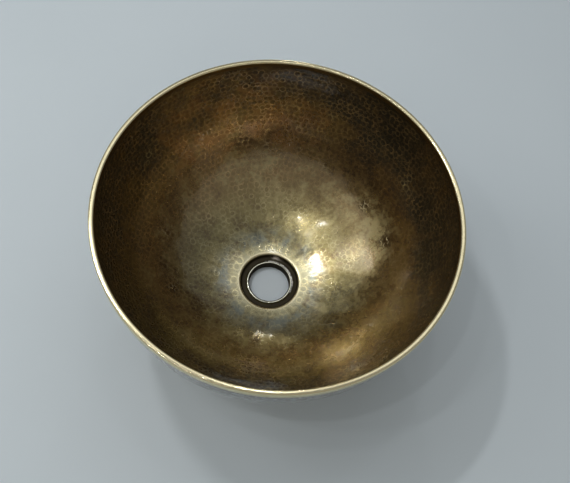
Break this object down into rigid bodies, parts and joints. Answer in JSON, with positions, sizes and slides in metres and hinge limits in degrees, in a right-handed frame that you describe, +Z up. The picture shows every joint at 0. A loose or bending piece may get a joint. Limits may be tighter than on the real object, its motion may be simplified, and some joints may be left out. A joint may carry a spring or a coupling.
{
  "type": "hammered wash basin bowl",
  "caption": "Deep round hammered brass wash basin bowl with a polished ring around its edge and a drain collar in a dished recess at the bottom.",
  "frame": {"origin": "centre of the drain collar's lower face, which is the lowest point of the basin", "axes": "+Z up along the bowl's axis, towards its open side"},
  "size_m": [0.343, 0.343, 0.182],
  "materials": {
    "antiqued_brass": "hammered and antiqued, dark brown patina over olive gold",
    "polished_brass": "polished, lightly worn",
    "brazing": "as brazed, wire brushed",
    "collar_brass": "turned, tarnished inside, bright on its top edge",
    "solder": "dull soft solder"
  },
  "bodies": {
    "root": {"bowl_shell": "antiqued_brass", "rim_ring": "polished_brass", "rim_braze_inner": "brazing", "rim_braze_outer": "brazing", "drain_collar": "collar_brass", "collar_solder": "solder", "collar_braze": "brazing"}
  },
  "joints": []
}
